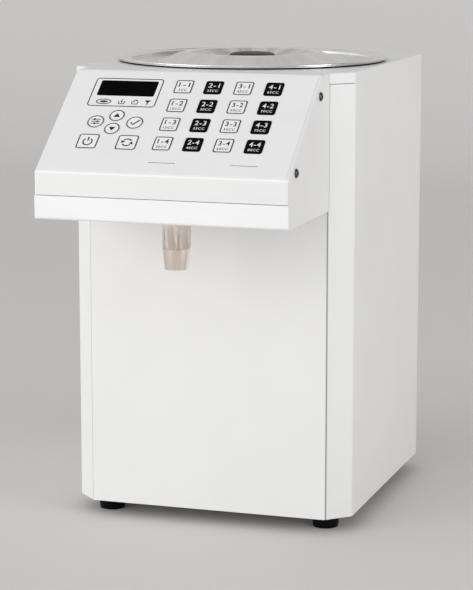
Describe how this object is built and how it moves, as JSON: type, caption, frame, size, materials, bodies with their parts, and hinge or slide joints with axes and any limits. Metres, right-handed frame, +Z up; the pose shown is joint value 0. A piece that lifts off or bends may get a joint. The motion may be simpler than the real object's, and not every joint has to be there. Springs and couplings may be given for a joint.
{
  "type": "syrup dispenser",
  "caption": "Counter-top syrup dispenser with a lidded heated tank, sloped membrane keypad, gear pump and a drip-free nozzle under the hood.",
  "frame": {"origin": "on the counter, midway across the width and midway along the overall depth", "axes": "+Z up; the front with the hood and nozzle faces -Y; +X is the right-hand side seen from the front"},
  "size_m": [0.274, 0.4142, 0.4405],
  "materials": {
    "white_paint": "satin powder coat, off-white",
    "zinc_steel": "zinc-plated sheet",
    "black_rubber": "matte",
    "seal_rubber": "black silicone",
    "heater_silicone": "orange-brown silicone",
    "screw_steel": "nickel-plated screw",
    "membrane": "fine satin polyester film",
    "key_white": "satin film",
    "key_black": "satin film",
    "dark_window": "gloss black",
    "board_green": "solder mask",
    "black_plastic": "moulded",
    "red_plastic": "moulded",
    "stainless": "polished",
    "hose_silicone": "milky silicone",
    "gear_steel": "ground",
    "aluminium": "turned",
    "motor_metal": "dark grey"
  },
  "bodies": {
    "casing": {"base_plate": "zinc_steel", "board_carrier": "zinc_steel", "casing_shell": "white_paint", "control_board": "board_green", "control_hood": "white_paint", "delivery_hose": "hose_silicone", "display_module": "black_plastic", "display_window": "dark_window", "front_panel": "white_paint", "gear_motor": "motor_metal", "heater_band": "heater_silicone", "hood_bottom_cover": "white_paint", "hood_screws": "screw_steel", "keypad_overlay": "membrane", "machine_screws": "screw_steel", "nozzle_body": "stainless", "nozzle_tip": "stainless", "power_inlet": "black_plastic", "power_supply": "zinc_steel", "pump_body": "stainless", "pump_bracket": "zinc_steel", "pump_cover": "stainless", "rear_panel": "white_paint", "rubber_feet": "black_rubber", "suction_hose": "hose_silicone", "switch_frame": "black_plastic", "tank": "stainless", "tank_gasket": "seal_rubber", "tank_outlet": "stainless", "valve_spring": "stainless"},
    "lid": {"lid": "stainless", "lid_knob": "black_plastic"},
    "pump_drive": {"drive_gear": "gear_steel", "shaft_coupling": "aluminium", "motor_shaft": "gear_steel"},
    "pump_idler": {"idler_gear": "gear_steel"},
    "rocker": {"switch_rocker": "red_plastic"},
    "poppet": {"valve_poppet": "stainless"},
    "dose_key_1_1": {"dose_key_1_1": "key_white"},
    "dose_key_1_2": {"dose_key_1_2": "key_white"},
    "dose_key_1_3": {"dose_key_1_3": "key_white"},
    "dose_key_1_4": {"dose_key_1_4": "key_white"},
    "dose_key_2_1": {"dose_key_2_1": "key_black"},
    "dose_key_2_2": {"dose_key_2_2": "key_black"},
    "dose_key_2_3": {"dose_key_2_3": "key_black"},
    "dose_key_2_4": {"dose_key_2_4": "key_black"},
    "dose_key_3_1": {"dose_key_3_1": "key_white"},
    "dose_key_3_2": {"dose_key_3_2": "key_white"},
    "dose_key_3_3": {"dose_key_3_3": "key_white"},
    "dose_key_3_4": {"dose_key_3_4": "key_white"},
    "dose_key_4_1": {"dose_key_4_1": "key_black"},
    "dose_key_4_2": {"dose_key_4_2": "key_black"},
    "dose_key_4_3": {"dose_key_4_3": "key_black"},
    "dose_key_4_4": {"dose_key_4_4": "key_black"},
    "key_power": {"key_power": "key_white"},
    "key_continuous": {"key_continuous": "key_white"},
    "key_set": {"key_set": "key_white"},
    "key_save": {"key_save": "key_white"},
    "key_up": {"key_up": "key_white"},
    "key_down": {"key_down": "key_white"}
  },
  "joints": [
    {"name": "lid_lift", "type": "slide", "parent": "casing", "child": "lid", "axis": [0, 0, 1], "range_m": [0, 0.12]},
    {"name": "pump_drive_spin", "type": "hinge", "parent": "casing", "child": "pump_drive", "pos_m": [-0.04, -0.02, 0.088], "axis": [0, 1, 0], "continuous": true},
    {"name": "pump_idler_spin", "type": "hinge", "parent": "casing", "child": "pump_idler", "pos_m": [-0.04, -0.02, 0.118], "axis": [0, 1, 0], "continuous": true},
    {"name": "rocker_tilt", "type": "hinge", "parent": "casing", "child": "rocker", "pos_m": [0.07, 0.20148, 0.106], "axis": [1, 0, 0], "range_deg": [0, 16]},
    {"name": "poppet_open", "type": "slide", "parent": "casing", "child": "poppet", "axis": [0, 0, -1], "range_m": [0, 0.003], "stiffness_N_per_m": 300, "springref_m": -0.004, "deforming": ["valve_spring"]},
    {"name": "dose_key_1_1_press", "type": "slide", "parent": "casing", "child": "dose_key_1_1", "axis": [0, 0.6201, -0.7845], "range_m": [0, 0.00035], "stiffness_N_per_m": 4000, "springref_m": -0.0002},
    {"name": "dose_key_1_2_press", "type": "slide", "parent": "casing", "child": "dose_key_1_2", "axis": [0, 0.6201, -0.7845], "range_m": [0, 0.00035], "stiffness_N_per_m": 4000, "springref_m": -0.0002},
    {"name": "dose_key_1_3_press", "type": "slide", "parent": "casing", "child": "dose_key_1_3", "axis": [0, 0.6201, -0.7845], "range_m": [0, 0.00035], "stiffness_N_per_m": 4000, "springref_m": -0.0002},
    {"name": "dose_key_1_4_press", "type": "slide", "parent": "casing", "child": "dose_key_1_4", "axis": [0, 0.6201, -0.7845], "range_m": [0, 0.00035], "stiffness_N_per_m": 4000, "springref_m": -0.0002},
    {"name": "dose_key_2_1_press", "type": "slide", "parent": "casing", "child": "dose_key_2_1", "axis": [0, 0.6201, -0.7845], "range_m": [0, 0.00035], "stiffness_N_per_m": 4000, "springref_m": -0.0002},
    {"name": "dose_key_2_2_press", "type": "slide", "parent": "casing", "child": "dose_key_2_2", "axis": [0, 0.6201, -0.7845], "range_m": [0, 0.00035], "stiffness_N_per_m": 4000, "springref_m": -0.0002},
    {"name": "dose_key_2_3_press", "type": "slide", "parent": "casing", "child": "dose_key_2_3", "axis": [0, 0.6201, -0.7845], "range_m": [0, 0.00035], "stiffness_N_per_m": 4000, "springref_m": -0.0002},
    {"name": "dose_key_2_4_press", "type": "slide", "parent": "casing", "child": "dose_key_2_4", "axis": [0, 0.6201, -0.7845], "range_m": [0, 0.00035], "stiffness_N_per_m": 4000, "springref_m": -0.0002},
    {"name": "dose_key_3_1_press", "type": "slide", "parent": "casing", "child": "dose_key_3_1", "axis": [0, 0.6201, -0.7845], "range_m": [0, 0.00035], "stiffness_N_per_m": 4000, "springref_m": -0.0002},
    {"name": "dose_key_3_2_press", "type": "slide", "parent": "casing", "child": "dose_key_3_2", "axis": [0, 0.6201, -0.7845], "range_m": [0, 0.00035], "stiffness_N_per_m": 4000, "springref_m": -0.0002},
    {"name": "dose_key_3_3_press", "type": "slide", "parent": "casing", "child": "dose_key_3_3", "axis": [0, 0.6201, -0.7845], "range_m": [0, 0.00035], "stiffness_N_per_m": 4000, "springref_m": -0.0002},
    {"name": "dose_key_3_4_press", "type": "slide", "parent": "casing", "child": "dose_key_3_4", "axis": [0, 0.6201, -0.7845], "range_m": [0, 0.00035], "stiffness_N_per_m": 4000, "springref_m": -0.0002},
    {"name": "dose_key_4_1_press", "type": "slide", "parent": "casing", "child": "dose_key_4_1", "axis": [0, 0.6201, -0.7845], "range_m": [0, 0.00035], "stiffness_N_per_m": 4000, "springref_m": -0.0002},
    {"name": "dose_key_4_2_press", "type": "slide", "parent": "casing", "child": "dose_key_4_2", "axis": [0, 0.6201, -0.7845], "range_m": [0, 0.00035], "stiffness_N_per_m": 4000, "springref_m": -0.0002},
    {"name": "dose_key_4_3_press", "type": "slide", "parent": "casing", "child": "dose_key_4_3", "axis": [0, 0.6201, -0.7845], "range_m": [0, 0.00035], "stiffness_N_per_m": 4000, "springref_m": -0.0002},
    {"name": "dose_key_4_4_press", "type": "slide", "parent": "casing", "child": "dose_key_4_4", "axis": [0, 0.6201, -0.7845], "range_m": [0, 0.00035], "stiffness_N_per_m": 4000, "springref_m": -0.0002},
    {"name": "key_power_press", "type": "slide", "parent": "casing", "child": "key_power", "axis": [0, 0.6201, -0.7845], "range_m": [0, 0.00035], "stiffness_N_per_m": 4000, "springref_m": -0.0002},
    {"name": "key_continuous_press", "type": "slide", "parent": "casing", "child": "key_continuous", "axis": [0, 0.6201, -0.7845], "range_m": [0, 0.00035], "stiffness_N_per_m": 4000, "springref_m": -0.0002},
    {"name": "key_set_press", "type": "slide", "parent": "casing", "child": "key_set", "axis": [0, 0.6201, -0.7845], "range_m": [0, 0.00035], "stiffness_N_per_m": 4000, "springref_m": -0.0002},
    {"name": "key_save_press", "type": "slide", "parent": "casing", "child": "key_save", "axis": [0, 0.6201, -0.7845], "range_m": [0, 0.00035], "stiffness_N_per_m": 4000, "springref_m": -0.0002},
    {"name": "key_up_press", "type": "slide", "parent": "casing", "child": "key_up", "axis": [0, 0.6201, -0.7845], "range_m": [0, 0.00035], "stiffness_N_per_m": 4000, "springref_m": -0.0002},
    {"name": "key_down_press", "type": "slide", "parent": "casing", "child": "key_down", "axis": [0, 0.6201, -0.7845], "range_m": [0, 0.00035], "stiffness_N_per_m": 4000, "springref_m": -0.0002}
  ],
  "couplings": [
    {"joint": "pump_idler_spin", "follows": "pump_drive_spin", "ratio": -1}
  ]
}
